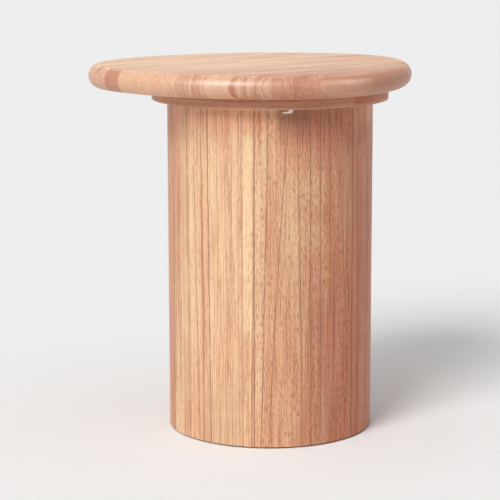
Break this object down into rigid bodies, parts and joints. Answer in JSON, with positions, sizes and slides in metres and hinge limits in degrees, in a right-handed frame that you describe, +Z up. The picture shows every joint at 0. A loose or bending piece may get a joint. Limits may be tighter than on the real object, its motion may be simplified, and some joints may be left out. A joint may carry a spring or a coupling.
{
  "type": "accent table",
  "caption": "Low accent table: a thick rounded slab of glued wood staves, with a pebble-shaped outline, on a plain upright drum faced with wood veneer.",
  "frame": {"origin": "on the floor, under the middle of the slab's outline", "axes": "+Z up, +X to the right and +Y away as seen from the picture's side"},
  "size_m": [0.472, 0.415, 0.5366],
  "materials": {
    "slab_wood_light": "satin lacquer, straight grain",
    "slab_wood_mid": "satin lacquer, straight grain",
    "slab_wood_dark": "satin lacquer, straight grain",
    "drum_veneer": "satin lacquer over upright-grained veneer",
    "edge_band": "satin lacquer over a veneer strip",
    "bent_plywood": "bare",
    "panel_board": "sealed board",
    "batten_wood": "bare, sawn",
    "foot_pad": "dense felt",
    "clip_metal": "bright plated",
    "screw_steel": "zinc plated"
  },
  "bodies": {
    "root": {"clip_screws": "screw_steel", "drum_bottom_panel": "panel_board", "drum_middle_ring": "panel_board", "drum_shell": "bent_plywood", "drum_top_ring": "panel_board", "drum_veneer_leaf_1": "drum_veneer", "drum_veneer_leaf_2": "drum_veneer", "drum_veneer_leaf_3": "drum_veneer", "drum_veneer_leaf_4": "drum_veneer", "drum_veneer_leaf_5": "drum_veneer", "drum_veneer_leaf_6": "drum_veneer", "foot_pads": "foot_pad", "locating_ring": "panel_board", "lower_batten_1": "batten_wood", "lower_batten_2": "batten_wood", "lower_batten_3": "batten_wood", "lower_batten_4": "batten_wood", "ring_screws": "screw_steel", "subtop_band_a": "edge_band", "subtop_band_b": "edge_band", "subtop_disc": "panel_board", "table_clip_1": "clip_metal", "table_clip_2": "clip_metal", "table_clip_3": "clip_metal", "top_screws": "screw_steel", "top_stave_01": "slab_wood_light", "top_stave_02": "slab_wood_mid", "top_stave_03": "slab_wood_mid", "top_stave_04": "slab_wood_mid", "top_stave_05": "slab_wood_mid", "top_stave_06": "slab_wood_dark", "top_stave_07": "slab_wood_light", "top_stave_08": "slab_wood_light", "top_stave_09": "slab_wood_light", "top_stave_10": "slab_wood_mid", "top_stave_11": "slab_wood_light", "top_stave_12": "slab_wood_dark", "top_stave_13": "slab_wood_light", "top_stave_14": "slab_wood_dark", "upper_batten_1": "batten_wood", "upper_batten_2": "batten_wood", "upper_batten_3": "batten_wood", "upper_batten_4": "batten_wood"}
  },
  "joints": []
}
